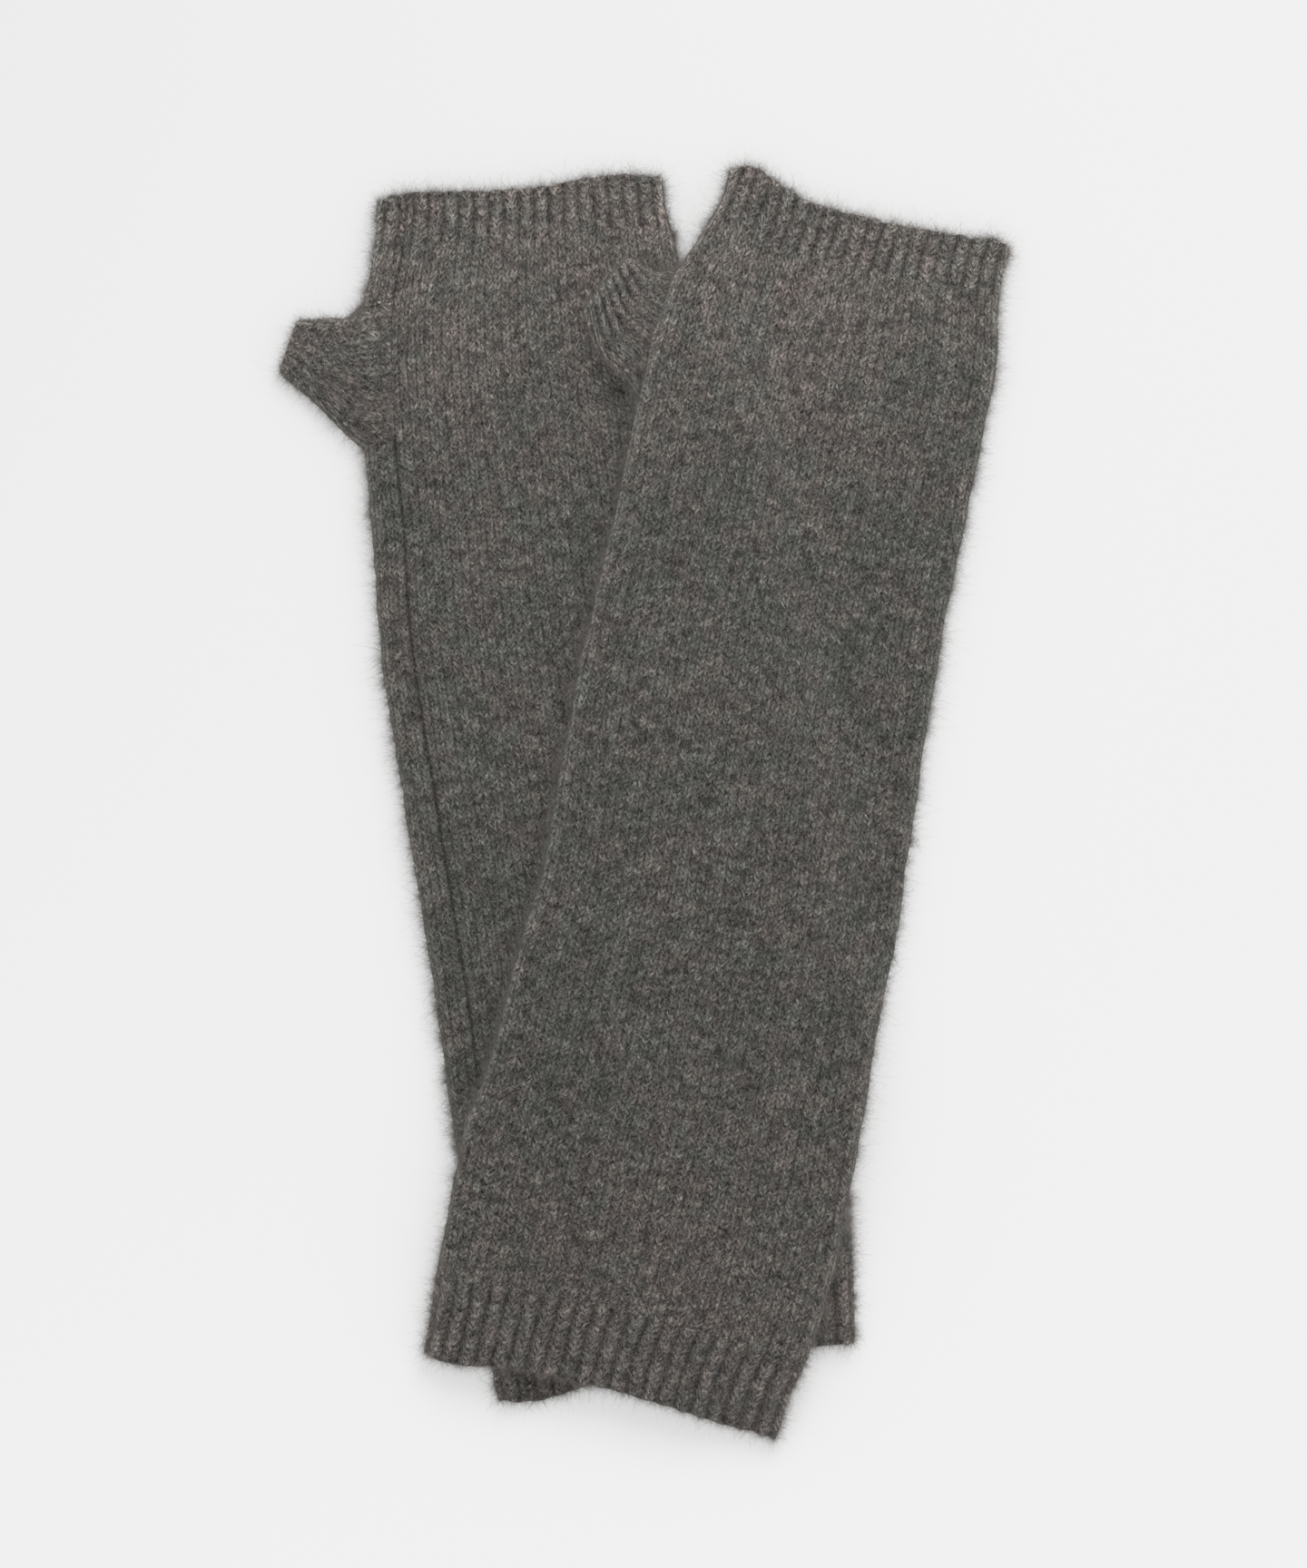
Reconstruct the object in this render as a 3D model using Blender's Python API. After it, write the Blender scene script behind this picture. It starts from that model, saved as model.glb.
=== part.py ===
"""A pair of long fingerless arm warmers in brushed wool knit, laid flat, one lying across the other.

Each warmer is one panel, ribbed at both ends, folded at its outer side and linked edge to edge in one
lengthwise seam near the thumb side. The seam stands open for the thumb, a short tube with a ribbed tip.

Working frame of a warmer, in millimetres: "along" runs from the arm hem to the hand hem, "across" runs
from the thumb side (negative) to the outer side (positive), and "height" is above what it lies on.
World frame, in metres: +Z is up, the surface is z = 0, and the origin is the middle of the footprint.
"""

import math
from collections import namedtuple

import bmesh
import bpy
import numpy as np

MM = 0.001

# Cloth, in millimetres
WALL = 1.8  # one layer of brushed knit
LAYER_GAP = 0.3  # between the two layers of a flat tube, and between pieces that meet
SEAM_INSET = 9.5  # the lengthwise seam lies this far in from the thumb-side fold
FOLD_PUFF = 0.7  # how much the layers spring apart where the cloth folds over
PUFF_REACH = 9.0
MOUTH_LIFT = 0.8  # how far the upper layer stands off at a free hem
MOUTH_REACH = 26.0

# Ribs, in millimetres: their depth from the hem
HAND_RIB = 15.5
ARM_RIB = 24.5
HEM_BOW_REACH = 60.0  # a hem's bow has died out this far from it

# The upper warmer steps down beside the lower one, in millimetres
DRAPE_LIFT = 2 * WALL + LAYER_GAP + FOLD_PUFF + LAYER_GAP
DRAPE_SHOULDER = 6.0  # it stays level this far past the lower one's fold
DRAPE_EASE = 20.0  # and comes down over this

# Mesh density
ROW_PITCH = 15.0
FACE_COLUMNS = 11
FOLD_COLUMNS = 4
STRIP_COLUMNS = 2
THUMB_COLUMNS = 5

Section = namedtuple("Section", "along left right")
Bow = namedtuple("Bow", "across offset")
ThumbRow = namedtuple("ThumbRow", "hand_along hand_across arm_along arm_across")
Warmer = namedtuple(
    "Warmer",
    "name length sections hand_bow arm_bow thumb_hole thumb seam_face arm_end lean rests_on_other",
)

UNDER = Warmer(
    name="under",
    length=355.0,
    sections=[
        Section(0, -53.8, 53.8),
        Section(24, -54.4, 56.2),
        Section(45, -55.2, 57.6),
        Section(80, -56.1, 56.6),
        Section(125, -56.4, 54.6),
        Section(175, -57.8, 52.4),
        Section(230, -58.6, 50.0),
        Section(260, -56.6, 48.6),
        Section(285, -55.8, 47.8),
        Section(325, -50.8, 45.6),
        Section(337, -46.6, 43.9),
        Section(348, -43.6, 42.9),
        Section(355, -42.7, 43.2),
    ],
    hand_bow=[Bow(-1, 1.3), Bow(-0.8, 2.8), Bow(-0.4, 1.0), Bow(0, -0.5), Bow(0.8, -0.6), Bow(1, -2.6)],
    arm_bow=[Bow(-1, -1.3), Bow(-0.8, -3.1), Bow(-0.5, -0.6), Bow(0.4, 2.4), Bow(1, 1.6)],
    thumb_hole=(284.5, 325.5),
    thumb=[
        ThumbRow(325.2, -51.8, 285.0, -56.6),
        ThumbRow(323.8, -57.4, 298.6, -67.4),
        ThumbRow(324.2, -70.2, 309.8, -77.9),
    ],
    seam_face=1,
    arm_end=(9.35, -169.16),
    lean=7.6,
    rests_on_other=False,
)

OVER = Warmer(
    name="over",
    length=360.0,
    sections=[
        Section(0, -54.4, 53.4),
        Section(14, -54.9, 54.4),
        Section(26, -55.9, 57.2),
        Section(42, -56.4, 58.7),
        Section(66, -57.2, 59.0),
        Section(88, -54.6, 58.1),
        Section(125, -53.4, 56.3),
        Section(146, -51.6, 55.9),
        Section(180, -53.0, 53.4),
        Section(215, -54.0, 50.8),
        Section(260, -53.9, 48.7),
        Section(291, -54.6, 48.2),
        Section(329, -51.6, 46.6),
        Section(341, -47.0, 44.3),
        Section(352, -43.5, 43.5),
        Section(360, -43.4, 43.9),
    ],
    hand_bow=[
        Bow(-1, 3.3),
        Bow(-0.85, 5.8),
        Bow(-0.68, 3.5),
        Bow(-0.48, 0.2),
        Bow(0.05, -1.4),
        Bow(0.7, -0.6),
        Bow(0.93, 0.2),
        Bow(1, -1.6),
    ],
    arm_bow=[Bow(-1, 0.7), Bow(-0.86, -0.5), Bow(-0.6, 1.6), Bow(0.1, 2.4), Bow(0.7, -0.4), Bow(1, -1.6)],
    thumb_hole=(291.0, 330.0),
    thumb=[
        ThumbRow(329.6, -52.4, 291.6, -55.6),
        ThumbRow(327.4, -57.6, 299.6, -67.0),
        ThumbRow(329.6, -66.4, 312.8, -76.2),
    ],
    seam_face=-1,
    arm_end=(-12.75, -175.86),
    lean=-12.7,
    rests_on_other=True,
)

# Colour (linear), roughness and metallic value of each kind of piece
FINISHES = {
    "body": ((0.098, 0.092, 0.083, 1.0), 0.95, 0.0),
    "rib": ((0.108, 0.098, 0.090, 1.0), 0.95, 0.0),
    "thumb": ((0.102, 0.094, 0.086, 1.0), 0.95, 0.0),
}


def ease(t):
    """0 up to t = 0, 1 from t = 1, and smooth between."""
    t = min(max(t, 0.0), 1.0)
    return t * t * (3.0 - 2.0 * t)


def through(rows, column, at):
    """A smooth curve through a table's rows, read at one place: the first column is the place."""
    places = [row[0] for row in rows]
    values = [getattr(row, column) for row in rows]
    slopes = np.gradient(values, places)
    i = int(np.clip(np.searchsorted(places, at) - 1, 0, len(places) - 2))
    span = places[i + 1] - places[i]
    t = min(max((at - places[i]) / span, 0.0), 1.0)
    start = (1 + 2 * t) * (1 - t) ** 2 * values[i] + t * (1 - t) ** 2 * span * slopes[i]
    end = t * t * (3 - 2 * t) * values[i + 1] + t * t * (t - 1) * span * slopes[i + 1]
    return start + end


def fold_edges(warmer, along):
    """Where the thumb-side and the outer fold lie at this station."""
    return through(warmer.sections, "left", along), through(warmer.sections, "right", along)


def hem_shift(warmer, along, across):
    """How far the bow of the nearer hem moves a point along the warmer."""
    left, right = fold_edges(warmer, along)
    place = (2 * across - left - right) / (right - left)
    hand = through(warmer.hand_bow, "offset", place) * ease(1 - (warmer.length - along) / HEM_BOW_REACH)
    arm = through(warmer.arm_bow, "offset", place) * ease(1 - along / HEM_BOW_REACH)
    return hand + arm


def layer_gap(warmer, along, across):
    """The space between the two layers: more at the folds, and at a mouth that nothing presses on."""
    left, right = fold_edges(warmer, along)
    inboard = max(min(across - left, right - across) - WALL, 0.0)
    gap = LAYER_GAP + FOLD_PUFF * (1 - ease(inboard / PUFF_REACH))
    crown = ease(inboard / (0.3 * (right - left)))
    mouths = [warmer.length - along]
    if warmer.rests_on_other:
        mouths.append(along)
    for distance in mouths:
        gap += MOUTH_LIFT * crown * (1 - ease(distance / MOUTH_REACH))
    return gap


def to_plan(warmer, along, across):
    """A point of the warmer's working frame on the world's plan, in millimetres."""
    turn = math.radians(warmer.lean)
    x = warmer.arm_end[0] - math.sin(turn) * along + math.cos(turn) * across
    y = warmer.arm_end[1] + math.cos(turn) * along + math.sin(turn) * across
    return x, y


def from_plan(warmer, x, y):
    """The other way round: along and across of a point on the plan."""
    turn = math.radians(warmer.lean)
    dx, dy = x - warmer.arm_end[0], y - warmer.arm_end[1]
    return -math.sin(turn) * dx + math.cos(turn) * dy, math.cos(turn) * dx + math.sin(turn) * dy


def drape(x, y):
    """How high the lower warmer holds the upper one at a point on the plan."""
    along, across = from_plan(UNDER, x, y)
    left, right = fold_edges(UNDER, min(max(along, 0.0), UNDER.length))
    inside = min(across - left, right - across, along, UNDER.length - along)
    return DRAPE_LIFT * ease((inside + DRAPE_SHOULDER + DRAPE_EASE) / DRAPE_EASE)


def place(warmer, along, across, height):
    """A point of the working frame in the world, in metres, with its hem's bow and its drape."""
    x, y = to_plan(warmer, along + hem_shift(warmer, along, across), across)
    if warmer.rests_on_other:
        height += drape(x, y)
    return x * MM, y * MM, height * MM


def layer_height(warmer, face, gap):
    """Height of the middle of the upper (face 1) or lower (face -1) layer."""
    return 0.5 * WALL if face < 0 else 1.5 * WALL + gap


def girth(warmer, along):
    """One ring of the panel, from seam edge to seam edge: (across, height, outward across, outward height).

    It crosses the face with the seam, turns round the outer fold, crosses the other face, turns round
    the thumb-side fold and comes back to the seam along a narrow strip.
    """
    left, right = fold_edges(warmer, along)
    face = warmer.seam_face
    seam = left + SEAM_INSET
    gap_left = layer_gap(warmer, along, left)
    gap_right = layer_gap(warmer, along, right)
    turn_left = left + WALL + 0.5 * gap_left
    turn_right = right - WALL - 0.5 * gap_right

    def flat(start, end, side, count):
        stops = np.linspace(start, end, count + 1)
        heights = [layer_height(warmer, side, layer_gap(warmer, along, a)) for a in stops]
        return [(a, h, 0.0, float(side)) for a, h in zip(stops, heights, strict=True)]

    def fold(centre, gap, outward):
        radius = 0.5 * (WALL + gap)
        points = []
        for i in range(1, FOLD_COLUMNS):
            angle = math.pi * i / FOLD_COLUMNS
            sideways = outward * math.sin(angle)
            upward = face * outward * math.cos(angle)
            height = WALL + 0.5 * gap + radius * upward
            points.append((centre + radius * sideways, height, sideways, upward))
        return points

    ring = flat(seam + 0.5 * LAYER_GAP, turn_right, face, FACE_COLUMNS)
    ring += fold(turn_right, gap_right, 1)
    ring += flat(turn_right, turn_left, -face, FACE_COLUMNS)
    ring += fold(turn_left, gap_left, -1)
    ring += flat(turn_left, seam - 0.5 * LAYER_GAP, face, STRIP_COLUMNS)
    return ring


def grid_points(warmer, rings):
    """The outer and inner skin of rings of (along, ring point, outward along)."""
    outer, inner = [], []
    for ring in rings:
        skins = ([], [])
        for along, across, height, out_along, out_across, out_height in ring:
            for skin, side in zip(skins, (0.5 * WALL, -0.5 * WALL), strict=True):
                a, c, h = along + side * out_along, across + side * out_across, height + side * out_height
                skin.append(place(warmer, a, c, h))
        outer.append(skins[0])
        inner.append(skins[1])
    return outer, inner


def finish_material(kind, name):
    """A Principled BSDF material with the piece's own colour."""
    colour, roughness, metallic = FINISHES[kind]
    material = bpy.data.materials.new(name)
    material.use_nodes = True
    shader = material.node_tree.nodes["Principled BSDF"]
    shader.inputs["Base Color"].default_value = colour
    shader.inputs["Roughness"].default_value = roughness
    shader.inputs["Metallic"].default_value = metallic
    return material


def cloth_solid(name, kind, outer, inner, missing=(), closed=False):
    """A wall of cloth between two grids of points, with its edges closed. Cells in missing are cut out."""
    rows, columns = len(outer), len(outer[0])
    across = columns if closed else columns - 1
    cells = {(r, c) for r in range(rows - 1) for c in range(across)} - set(missing)
    mesh = bmesh.new()
    corners = {}

    def corner(skin, points, r, c):
        key = (skin, r, c % columns)
        if key not in corners:
            corners[key] = mesh.verts.new(points[r][c % columns])
        return corners[key]

    for r, c in sorted(cells):
        square = [(r, c), (r, c + 1), (r + 1, c + 1), (r + 1, c)]
        mesh.faces.new([corner(0, outer, *spot) for spot in square])
        mesh.faces.new([corner(1, inner, *spot) for spot in reversed(square)])
        beyond = [(r - 1, c), (r, c + 1), (r + 1, c), (r, c - 1)]
        for i, (br, bc) in enumerate(beyond):
            if (br, bc % across if closed else bc) in cells:
                continue
            one, two = square[i], square[(i + 1) % 4]
            rim = [corner(0, outer, *two), corner(0, outer, *one)]
            mesh.faces.new([*rim, corner(1, inner, *one), corner(1, inner, *two)])
    bmesh.ops.triangulate(mesh, faces=mesh.faces)
    bmesh.ops.recalc_face_normals(mesh, faces=mesh.faces)
    data = bpy.data.meshes.new(name)
    mesh.to_mesh(data)
    mesh.free()
    data.shade_smooth()
    data.materials.append(finish_material(kind, name))
    solid = bpy.data.objects.new(name, data)
    bpy.context.scene.collection.objects.link(solid)
    return solid


def stations(start, end, keep=()):
    """Places from start to end about ROW_PITCH apart, with those in keep among them."""
    stops = [start, *keep, end]
    found = [start]
    for low, high in zip(stops, stops[1:], strict=False):
        count = max(1, round((high - low) / ROW_PITCH))
        found += [low + (high - low) * (i + 1) / count for i in range(count)]
    return found


def panel_rings(warmer, places):
    """Rings of the panel at these stations, as grid_points reads them."""
    rings = []
    for along in places:
        rings.append([(along, a, h, 0.0, out_a, out_h) for a, h, out_a, out_h in girth(warmer, along)])
    return rings


def panel_piece(warmer, part, kind, places, hole=None):
    """One stretch of the folded panel, with the thumb's opening left out of it."""
    rings = panel_rings(warmer, places)
    missing = []
    if hole:
        first = FACE_COLUMNS + FOLD_COLUMNS + FACE_COLUMNS
        middles = [0.5 * (low + high) for low, high in zip(places, places[1:], strict=False)]
        open_rows = [r for r, middle in enumerate(middles) if hole[0] < middle < hole[1]]
        missing = [(r, c) for r in open_rows for c in range(first, len(rings[0]) - 1)]
    return cloth_solid(f"{warmer.name}_{part}", kind, *grid_points(warmer, rings), missing)


def thumb_ring(warmer, row):
    """One ring of the thumb tube between its hand-side and arm-side edges, seam face first."""
    hand = np.array([row.hand_along, row.hand_across])
    arm = np.array([row.arm_along, row.arm_across])
    span = np.linalg.norm(hand - arm)
    toward_hand = (hand - arm) / span
    face = warmer.seam_face
    radius = 0.5 * (WALL + LAYER_GAP)
    middle = WALL + 0.5 * LAYER_GAP
    margin = middle
    ring = []

    def leaf(start, end, side):
        for distance in np.linspace(start, end, THUMB_COLUMNS + 1):
            along, across = arm + toward_hand * distance
            ring.append((along, across, middle + side * radius, 0.0, 0.0, float(side)))

    def fold(distance, outward):
        for i in range(1, FOLD_COLUMNS):
            angle = math.pi * i / FOLD_COLUMNS
            sideways = outward * math.sin(angle)
            upward = face * outward * math.cos(angle)
            along, across = arm + toward_hand * (distance + radius * sideways)
            out_along, out_across = toward_hand * sideways
            ring.append((along, across, middle + radius * upward, out_along, out_across, upward))

    leaf(margin, span - margin, face)
    fold(span - margin, 1)
    leaf(span - margin, margin, -face)
    fold(margin, -1)
    return ring


def row_between(a, b, t):
    """A thumb row part of the way from a to b."""
    return ThumbRow(*[(1 - t) * p + t * q for p, q in zip(a, b, strict=True)])


def base_ring(warmer, inset):
    """A ring of the thumb that follows the body's thumb-side edge, this far in from it."""
    low, high = warmer.thumb_hole
    row = ThumbRow(high - LAYER_GAP, 0.0, low + LAYER_GAP, 0.0)
    return [
        (along, fold_edges(warmer, along)[0] + inset, *rest) for along, _, *rest in thumb_ring(warmer, row)
    ]


def thumb_pieces(warmer):
    """The thumb tube with its tongue up to the seam, and the ribbed tip."""
    root, rib_line, tip = warmer.thumb
    reach = math.hypot(tip.hand_along - rib_line.hand_along, tip.hand_across - rib_line.hand_across)
    slit = 0.5 * LAYER_GAP / reach
    at_seam = SEAM_INSET - 0.5 * LAYER_GAP
    at_fold = WALL + 0.5 * (LAYER_GAP + FOLD_PUFF) - LAYER_GAP
    rings = [base_ring(warmer, at_seam), base_ring(warmer, at_fold)]
    rows = [root, row_between(root, rib_line, 0.5), row_between(rib_line, root, 2 * slit)]
    rings += [thumb_ring(warmer, row) for row in rows]
    around = len(rings[0])
    beyond_tongue = [(0, c) for c in range(THUMB_COLUMNS, around)]
    cloth_solid(f"{warmer.name}_thumb", "thumb", *grid_points(warmer, rings), beyond_tongue, closed=True)
    rows = [row_between(rib_line, tip, t) for t in (slit, 0.5, 1.0)]
    rings = [thumb_ring(warmer, row) for row in rows]
    cloth_solid(f"{warmer.name}_thumb_rib", "rib", *grid_points(warmer, rings), closed=True)


def build_warmer(warmer):
    """All the pieces of one warmer."""
    arm_line = ARM_RIB
    hand_line = warmer.length - HAND_RIB
    half = 0.5 * LAYER_GAP
    panel_piece(warmer, "arm_rib", "rib", stations(0.0, arm_line - half))
    places = stations(arm_line + half, hand_line - half, warmer.thumb_hole)
    panel_piece(warmer, "body", "body", places, warmer.thumb_hole)
    panel_piece(warmer, "hand_rib", "rib", stations(hand_line + half, warmer.length))
    thumb_pieces(warmer)


def main():
    for thing in list(bpy.data.objects):
        bpy.data.objects.remove(thing, do_unlink=True)
    build_warmer(UNDER)
    build_warmer(OVER)


main()
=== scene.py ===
"""Looks of a pair of long fingerless arm warmers in brushed wool knit, laid flat, one lying across the other.

Each warmer is a knitted tube: 1x1 ribs at both hems, stockinette between them, a linked seam near the
thumb-side fold, and a short thumb with a ribbed tip. Each piece is a skin on the form of the solid that
it replaces, with its stitches in relief, and on it lies a nap of thousands of separate fine hairs.

Working frame of a warmer, in millimetres: "along" runs from the arm hem to the hand hem, "across" runs
from the thumb side (negative) to the outer side (positive), and "height" is above what it lies on.
"""

import math
from collections import namedtuple
from functools import partial

import bpy
import numpy as np
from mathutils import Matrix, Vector


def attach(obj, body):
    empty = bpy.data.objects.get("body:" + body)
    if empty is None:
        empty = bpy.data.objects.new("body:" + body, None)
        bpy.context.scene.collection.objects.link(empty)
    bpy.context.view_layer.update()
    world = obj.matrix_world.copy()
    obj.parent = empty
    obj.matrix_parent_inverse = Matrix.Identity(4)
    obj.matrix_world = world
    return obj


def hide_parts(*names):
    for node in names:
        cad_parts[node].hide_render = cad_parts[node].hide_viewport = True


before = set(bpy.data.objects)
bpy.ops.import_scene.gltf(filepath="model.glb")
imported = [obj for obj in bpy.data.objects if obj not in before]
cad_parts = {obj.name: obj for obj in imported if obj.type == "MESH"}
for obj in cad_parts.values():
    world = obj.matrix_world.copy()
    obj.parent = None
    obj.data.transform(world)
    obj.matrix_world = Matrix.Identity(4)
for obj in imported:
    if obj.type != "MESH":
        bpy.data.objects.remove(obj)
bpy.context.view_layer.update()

MM = 0.001
random = np.random.default_rng(11)

# Cloth, in millimetres, as in the solids
WALL = 1.8
LAYER_GAP = 0.3
SEAM_INSET = 9.5
FOLD_PUFF = 0.7
PUFF_REACH = 9.0
MOUTH_LIFT = 0.8
MOUTH_REACH = 26.0
MOUTH_CROWN = 0.3  # share of the width from a fold to where a mouth is open highest
HAND_RIB = 15.5
ARM_RIB = 24.5
HEM_BOW_REACH = 60.0
DRAPE_LIFT = 2 * WALL + LAYER_GAP + FOLD_PUFF + LAYER_GAP
DRAPE_SHOULDER = 6.0
DRAPE_EASE = 20.0
THUMB_CROWN = 0.35  # how far the thumb's upper layer domes

# Mean girth of each piece, in millimetres
GIRTHS = {"body": 212.0, "hand_rib": 177.0, "arm_rib": 222.0, "thumb": 80.0, "thumb_rib": 52.0}
HEM_GIRTH = 200.0  # between those of the two hems

# Points on the outline of a tube's cross-section: its flats, the strip beside the seam, and its folds
TOP_STEPS, UNDER_STEPS, STRIP_STEPS, FOLD_STEPS = 70, 80, 12, 13
THUMB_STEPS, THUMB_FOLD_STEPS = 40, 9

# Knit, in stitches and in millimetres
BODY_WALES = 80  # stitches round the body
THUMB_WALES = 28
ARM_RIBS = 44
HAND_RIBS = 40
COURSE = 1.8  # height of one stitch
WALE_DEPTH = 0.34
STITCH_DEPTH = 0.16
RIB_DEPTH = 1.1
RIB_STITCH_DEPTH = 0.08
JOINED_DEPTH = 0.65  # share of their depth that ribs have where they meet plain knit
JOIN_FADE = 4.0  # how far from that line they reach it
RIB_FADE = 7.0  # how far ribs run on into the body
COARSE_HEIGHT = -0.2  # mean height of plain knit, where its stitches aren't modelled
SEAM_DEPTH = 0.9
SEAM_WIDTH = 0.9
SEAM_RIDGE = 0.08
SEAM_RIDGE_AT, SEAM_RIDGE_WIDTH = 2.4, 1.1
THUMB_SEAM_DEPTH = 0.8
LIP = 3.5  # how far a hem's inside is modelled

# Unevenness of the cloth, in millimetres
Swell = namedtuple("Swell", "size height")
BODY_SWELL = Swell(14.0, 0.35)
BODY_LUMP = Swell(4.5, 0.22)
RIB_LUMP = Swell(5.0, 0.18)
HEM_LUMP = Swell(5.0, 0.4)
HEM_SCALLOP = 0.15  # how far a rib's crest stands out over a trough at the hem
HEM_REACH = 5.0

# A dent pressed into the lower warmer beside the upper one's thumb, which also gets painted shade
DENT_AT = (-7.4, 121.5)
DENT_SIZE = (4.6, 6.0)
DENT_SHARE = 0.7

# Where the two folds lie at a station
Section = namedtuple("Section", "along left right")
# How far a hem bows along the warmer, at a place from -1 on the thumb side to 1 on the outer side
Bow = namedtuple("Bow", "across offset")
# The thumb's edges toward the hand and the arm hem, and its height, at a reach out from the body's fold
ThumbRow = namedtuple("ThumbRow", "reach hand_along hand_across arm_along arm_across top")
# The opening in the body: from where to where along it, and how far round from the seam
ThumbHole = namedtuple("ThumbHole", "start end from_seam")
# tongue is how far inward of the fold the thumb starts, and thumb_insets how far across its upper and its
# lower layer are moved there. seam_face is 1 with the linked seam on top and -1 with it underneath, and
# underside is the share of the girth, from the seam, that faces the table. lean is in degrees.
Warmer = namedtuple(
    "Warmer",
    "name length sections hand_bow arm_bow thumb thumb_hole tongue thumb_insets thumb_ribs thumb_rib_depth "
    "seam_face underside arm_end lean rests_on_other",
)

UNDER = Warmer(
    name="under",
    length=355.0,
    sections=[
        Section(0, -53.8, 53.8),
        Section(24, -54.4, 56.2),
        Section(45, -55.2, 57.6),
        Section(80, -56.1, 56.6),
        Section(125, -56.4, 54.6),
        Section(175, -57.8, 52.4),
        Section(230, -58.6, 50.0),
        Section(260, -56.6, 48.6),
        Section(285, -55.8, 47.8),
        Section(325, -50.8, 45.6),
        Section(337, -46.6, 43.9),
        Section(348, -43.6, 42.9),
        Section(355, -42.7, 43.2),
    ],
    hand_bow=[Bow(-1, 1.3), Bow(-0.8, 2.8), Bow(-0.4, 1.0), Bow(0, -0.5), Bow(0.8, -0.6), Bow(1, -2.6)],
    arm_bow=[Bow(-1, -1.3), Bow(-0.8, -3.1), Bow(-0.5, -0.6), Bow(0.4, 2.4), Bow(1, 1.6)],
    thumb=[
        ThumbRow(-9.5, 326.6, -51.0, 283.4, -56.0, 3.6),
        ThumbRow(0, 326.2, -51.0, 283.8, -56.0, 4.2),
        ThumbRow(3, 324.0, -54.0, 287.2, -59.0, 4.2),
        ThumbRow(12, 323.6, -60.4, 299.4, -68.4, 4.1),
        ThumbRow(25, 324.2, -70.2, 309.8, -77.9, 4.3),
    ],
    thumb_hole=ThumbHole(start=284.5, end=325.5, from_seam=SEAM_INSET + 4.2),
    tongue=9.5,
    thumb_insets=(SEAM_INSET, 2.0),
    thumb_ribs=14,
    thumb_rib_depth=0.6 * RIB_DEPTH,
    seam_face=1,
    underside=(0.455, 0.955),
    arm_end=(9.35, -169.16),
    lean=7.6,
    rests_on_other=False,
)

OVER = Warmer(
    name="over",
    length=360.0,
    sections=[
        Section(0, -54.4, 53.4),
        Section(14, -54.9, 54.4),
        Section(26, -55.9, 57.2),
        Section(42, -56.4, 58.7),
        Section(66, -57.2, 59.0),
        Section(88, -54.6, 58.1),
        Section(125, -53.4, 56.3),
        Section(146, -51.6, 55.9),
        Section(180, -53.0, 53.4),
        Section(215, -54.0, 50.8),
        Section(260, -53.9, 48.7),
        Section(291, -54.6, 48.2),
        Section(329, -51.6, 46.6),
        Section(341, -47.0, 44.3),
        Section(352, -43.5, 43.5),
        Section(360, -43.4, 43.9),
    ],
    hand_bow=[
        Bow(-1, 3.3),
        Bow(-0.85, 5.8),
        Bow(-0.68, 3.5),
        Bow(-0.48, 0.2),
        Bow(0.05, -1.4),
        Bow(0.7, -0.6),
        Bow(0.93, 0.2),
        Bow(1, -1.6),
    ],
    arm_bow=[Bow(-1, 0.7), Bow(-0.86, -0.5), Bow(-0.6, 1.6), Bow(0.1, 2.4), Bow(0.7, -0.4), Bow(1, -1.6)],
    thumb=[
        ThumbRow(-4, 329.7, -51.8, 291.3, -54.8, 2.3),
        ThumbRow(0, 329.2, -51.8, 291.3, -54.8, 2.4),
        ThumbRow(3, 328.2, -54.6, 294.6, -58.0, 2.6),
        ThumbRow(10, 327.2, -58.6, 299.8, -67.0, 3.6),
        ThumbRow(23, 329.6, -66.2, 312.8, -76.2, 5.0),
    ],
    thumb_hole=ThumbHole(start=291.0, end=330.0, from_seam=SEAM_INSET + 0.3),
    tongue=4.0,
    thumb_insets=(3.0, 3.0),
    thumb_ribs=16,
    thumb_rib_depth=0.85 * RIB_DEPTH,
    seam_face=-1,
    underside=(0.0, 0.41),
    arm_end=(-12.75, -175.86),
    lean=-12.7,
    rests_on_other=True,
)


# ---------------------------------------------------------------- form


def ease(t):
    """0 up to t = 0, 1 from t = 1, and smooth between."""
    t = np.clip(t, 0.0, 1.0)
    return t * t * (3.0 - 2.0 * t)


def unit(vectors):
    """These vectors with a length of 1."""
    return vectors / np.maximum(np.linalg.norm(vectors, axis=-1, keepdims=True), 1e-9)


def through(rows, column, at):
    """A smooth curve through a table's rows, read at many places: the first column is the place."""
    places = np.array([row[0] for row in rows], float)
    values = np.array([getattr(row, column) for row in rows], float)
    slopes = np.gradient(values, places)
    i = np.clip(np.searchsorted(places, at) - 1, 0, len(places) - 2)
    span = places[i + 1] - places[i]
    t = np.clip((at - places[i]) / span, 0.0, 1.0)
    start = (1 + 2 * t) * (1 - t) ** 2 * values[i] + t * (1 - t) ** 2 * span * slopes[i]
    end = t * t * (3 - 2 * t) * values[i + 1] + t * t * (t - 1) * span * slopes[i + 1]
    return start + end


def fold_edges(warmer, along):
    """Where the thumb-side and the outer fold lie at these stations."""
    return through(warmer.sections, "left", along), through(warmer.sections, "right", along)


def hem_shift(warmer, along, across):
    """How far the bow of the nearer hem moves a point along the warmer."""
    left, right = fold_edges(warmer, along)
    side = (2 * across - left - right) / (right - left)
    hand = through(warmer.hand_bow, "offset", side) * ease(1 - (warmer.length - along) / HEM_BOW_REACH)
    arm = through(warmer.arm_bow, "offset", side) * ease(1 - along / HEM_BOW_REACH)
    return hand + arm


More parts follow.
